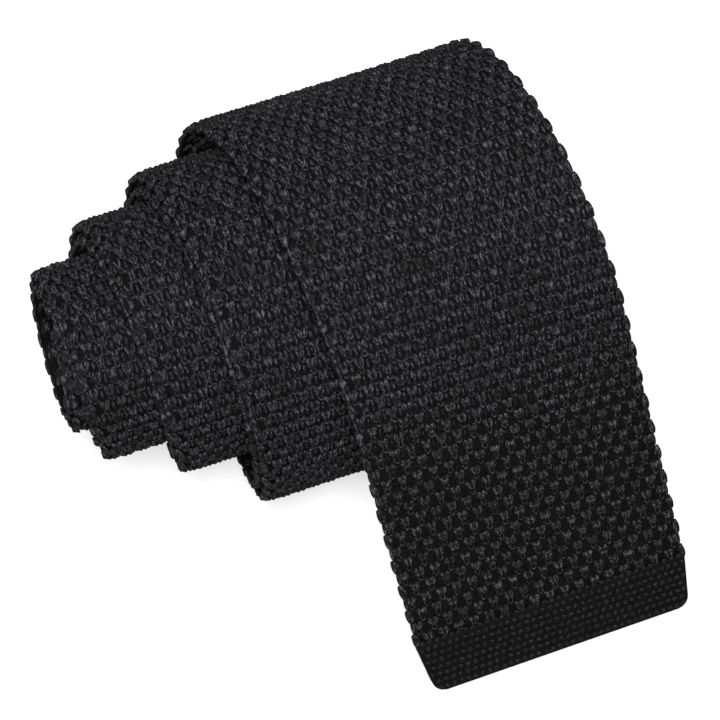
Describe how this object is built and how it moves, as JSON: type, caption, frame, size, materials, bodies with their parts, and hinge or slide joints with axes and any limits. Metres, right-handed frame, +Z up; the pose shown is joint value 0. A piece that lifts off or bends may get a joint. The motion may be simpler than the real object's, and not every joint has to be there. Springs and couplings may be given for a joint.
{
  "type": "rolled knitted necktie",
  "caption": "Slim black knitted necktie rolled up on its side, its turns stepped sideways into a cone, with the square hemmed end leaning down to the table.",
  "frame": {"origin": "middle of the bounding box's base, on the table", "axes": "+X along the roll's axis, from the stepped-out core to the wide end; -Y towards the leaning flap; +Z up"},
  "size_m": [0.1136, 0.1196, 0.0828],
  "materials": {
    "knit": "open honeycomb knit, matt",
    "dense_knit": "dense fine knit, matt",
    "thread": "sewing thread",
    "label_satin": "blank satin ribbon"
  },
  "bodies": {
    "outer_turn": {"blade_second_turn_upper": "knit", "blade_second_turn_lower": "knit", "blade_last_turn_rear": "knit", "tail_second_turn_upper": "knit", "tail_second_turn_lower": "knit", "tail_last_turn_rear": "knit", "tail_hem": "dense_knit"},
    "last_turn": {"blade_last_turn_top": "knit", "keeper_loop": "knit", "keeper_tack_left": "thread", "keeper_tack_right": "thread", "blank_label": "label_satin"},
    "flap": {"blade_flap": "knit", "blade_hem": "dense_knit", "flap_seam_thread": "thread"},
    "third_turn": {"blade_third_turn_lower": "knit", "blade_third_turn_upper": "knit", "tail_third_turn_lower": "knit", "tail_third_turn_upper": "knit"},
    "fourth_turn": {"blade_fourth_turn_lower": "knit", "blade_fourth_turn_upper": "knit", "tail_fourth_turn_lower": "knit", "tail_fourth_turn_upper": "knit"},
    "core": {"blade_core_lower": "knit", "blade_core_upper": "knit", "tail_core_lower": "knit", "tail_core_upper": "knit", "neck_fold": "knit"}
  },
  "joints": [
    {"name": "last_turn_lift", "type": "hinge", "parent": "outer_turn", "child": "last_turn", "pos_m": [0.00641, 0.05584, 0.05887], "axis": [-1, 0, 0], "range_deg": [0, 60]},
    {"name": "flap_lift", "type": "hinge", "parent": "last_turn", "child": "flap", "pos_m": [0.00641, -0.02094, 0.06212], "axis": [-1, 0, 0], "range_deg": [0, 75]},
    {"name": "third_turn_slide", "type": "slide", "parent": "outer_turn", "child": "third_turn", "axis": [1, 0, 0], "range_m": [-0.008, 0.014]},
    {"name": "fourth_turn_slide", "type": "slide", "parent": "third_turn", "child": "fourth_turn", "axis": [1, 0, 0], "range_m": [-0.008, 0.014]},
    {"name": "core_slide", "type": "slide", "parent": "fourth_turn", "child": "core", "axis": [1, 0, 0], "range_m": [-0.008, 0.014]}
  ],
  "couplings": [
    {"joint": "fourth_turn_slide", "follows": "third_turn_slide", "ratio": 1},
    {"joint": "core_slide", "follows": "third_turn_slide", "ratio": 1}
  ]
}
